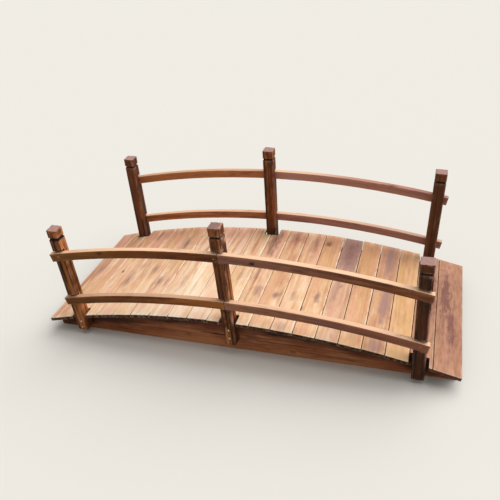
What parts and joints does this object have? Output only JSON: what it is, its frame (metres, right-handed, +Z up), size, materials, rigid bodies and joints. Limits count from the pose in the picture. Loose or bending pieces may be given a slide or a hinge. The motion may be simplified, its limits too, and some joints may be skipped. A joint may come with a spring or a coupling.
{
  "type": "garden moon bridge",
  "caption": "Small arched garden footbridge of scorched and stained fir: plank deck on two shaped plank beams, with grooved square posts and arched rails on both sides.",
  "frame": {"origin": "on the ground, under the middle of the deck; the near middle post stands 12 mm to its left", "axes": "+X along the bridge to its right end, +Z up; the near railing is on -Y and the far one on +Y"},
  "size_m": [1.7904, 0.734, 0.6366],
  "materials": {
    "deck_wood": "satin",
    "post_wood": "satin",
    "rail_wood": "satin",
    "beam_wood": "satin",
    "screw_steel": "satin"
  },
  "bodies": {
    "root": {"deck_board_01": "deck_wood", "deck_board_02": "deck_wood", "deck_board_03": "deck_wood", "deck_board_04": "deck_wood", "deck_board_05": "deck_wood", "deck_board_06": "deck_wood", "deck_board_07": "deck_wood", "deck_board_08": "deck_wood", "deck_board_09": "deck_wood", "deck_board_10": "deck_wood", "deck_board_11": "deck_wood", "deck_board_12": "deck_wood", "deck_board_13": "deck_wood", "deck_board_14": "deck_wood", "deck_board_15": "deck_wood", "deck_board_16": "deck_wood", "deck_board_17": "deck_wood", "deck_board_18": "deck_wood", "deck_board_19": "deck_wood", "deck_board_20": "deck_wood", "post_near_left": "post_wood", "post_near_middle": "post_wood", "post_near_right": "post_wood", "post_far_left": "post_wood", "post_far_middle": "post_wood", "post_far_right": "post_wood", "rail_upper_near_left": "rail_wood", "rail_upper_near_right": "rail_wood", "rail_upper_far_left": "rail_wood", "rail_upper_far_right": "rail_wood", "rail_lower_near_left": "rail_wood", "rail_lower_near_right": "rail_wood", "rail_lower_far_left": "rail_wood", "rail_lower_far_right": "rail_wood", "beam_near": "beam_wood", "beam_far": "beam_wood"}
  },
  "joints": []
}
